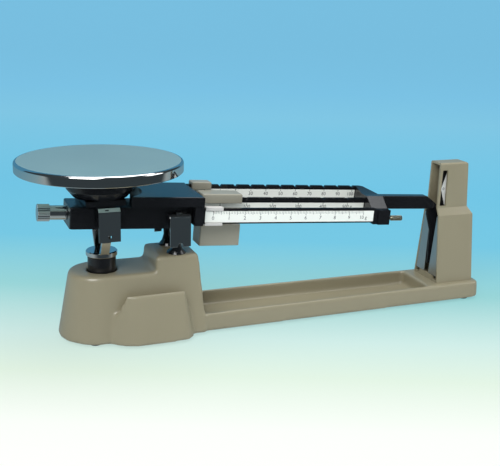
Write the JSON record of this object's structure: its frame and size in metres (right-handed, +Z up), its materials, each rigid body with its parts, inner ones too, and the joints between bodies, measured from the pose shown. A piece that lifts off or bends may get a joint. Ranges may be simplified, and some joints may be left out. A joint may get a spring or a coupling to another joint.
{
  "type": "triple beam balance",
  "caption": "Free-standing balance with a round pan, tilting beams with sliding poises, and an index tower on a long cast base.",
  "frame": {"origin": "centre of the footprint, on the table", "axes": "+X from the pan towards the index tower, +Y away from the viewer, +Z up"},
  "size_m": [0.4797, 0.15, 0.1662],
  "materials": {
    "tan_paint": "satin grey-tan enamel",
    "poise_paint": "satin grey-tan enamel",
    "black_paint": "gloss black enamel",
    "scale_enamel": "white enamelled plate with black graduations",
    "chrome_plate": "polished plate",
    "steel": "fine ground",
    "agate": "polished stone",
    "brass_plate": "turned and polished",
    "index_card": "black card with white mark",
    "rubber_foot": "matt"
  },
  "bodies": {
    "base": {"base_casting": "tan_paint", "base_feet": "rubber_foot", "link_bracket": "steel", "link_pin": "steel", "front_fulcrum_post": "black_paint", "rear_fulcrum_post": "black_paint", "front_fulcrum_bearing": "agate", "rear_fulcrum_bearing": "agate", "front_fulcrum_cover": "chrome_plate", "rear_fulcrum_cover": "chrome_plate", "index_housing": "tan_paint", "index_plate": "index_card", "front_slot_plate": "steel", "rear_slot_plate": "steel", "front_magnet": "steel", "rear_magnet": "steel", "damper_yoke": "steel"},
    "beam": {"beam_casting": "black_paint", "load_knife": "steel", "fulcrum_knife": "steel", "front_scale_plate": "scale_enamel", "middle_scale_plate": "scale_enamel", "rear_scale_plate": "scale_enamel", "zero_stud": "steel", "damping_vane": "black_paint", "pointer": "black_paint"},
    "zero_knob": {"zero_knob": "chrome_plate"},
    "calibration_screw": {"calibration_screw": "brass_plate"},
    "carrier": {"load_carrier": "chrome_plate", "stem_pin": "steel", "front_load_bearing": "agate", "rear_load_bearing": "agate", "front_load_cover": "chrome_plate", "rear_load_cover": "chrome_plate", "dust_sleeve": "black_paint", "pan_cup": "black_paint"},
    "pan": {"weighing_pan": "chrome_plate"},
    "check_link": {"check_link": "steel"},
    "rear_poise": {"rear_poise": "poise_paint"},
    "middle_poise": {"middle_poise": "poise_paint"},
    "front_rider": {"front_rider": "steel"}
  },
  "joints": [
    {"name": "beam_swing", "type": "hinge", "parent": "base", "child": "beam", "pos_m": [-0.09757, 0, 0.112], "axis": [0, -1, 0], "range_deg": [0, 7.56]},
    {"name": "carrier_swing", "type": "hinge", "parent": "beam", "child": "carrier", "pos_m": [-0.16493, 0, 0.11645], "axis": [0, -1, 0], "range_deg": [-7.56, 0]},
    {"name": "link_swing", "type": "hinge", "parent": "base", "child": "check_link", "pos_m": [-0.09757, 0, 0.032], "axis": [0, -1, 0], "range_deg": [0, 7.56]},
    {"name": "pan_lift", "type": "slide", "parent": "carrier", "child": "pan", "axis": [0, 0, 1], "range_m": [0, 0.03]},
    {"name": "rear_poise_slide", "type": "slide", "parent": "beam", "child": "rear_poise", "axis": [0.9978, 0, -0.0659], "range_m": [0, 0.1585]},
    {"name": "middle_poise_slide", "type": "slide", "parent": "beam", "child": "middle_poise", "axis": [0.9978, 0, -0.0659], "range_m": [0, 0.137]},
    {"name": "front_rider_slide", "type": "slide", "parent": "beam", "child": "front_rider", "axis": [0.9978, 0, -0.0659], "range_m": [0, 0.1585]},
    {"name": "zero_knob_turn", "type": "hinge", "parent": "beam", "child": "zero_knob", "pos_m": [-0.21479, 0, 0.12025], "axis": [0.9978, 0, -0.0659], "continuous": true},
    {"name": "calibration_screw_turn", "type": "hinge", "parent": "beam", "child": "calibration_screw", "pos_m": [0.12442, -0.023, 0.09693], "axis": [0.9978, 0, -0.0659], "continuous": true}
  ],
  "couplings": [
    {"joint": "carrier_swing", "follows": "beam_swing", "ratio": -1},
    {"joint": "link_swing", "follows": "beam_swing", "ratio": 1}
  ]
}
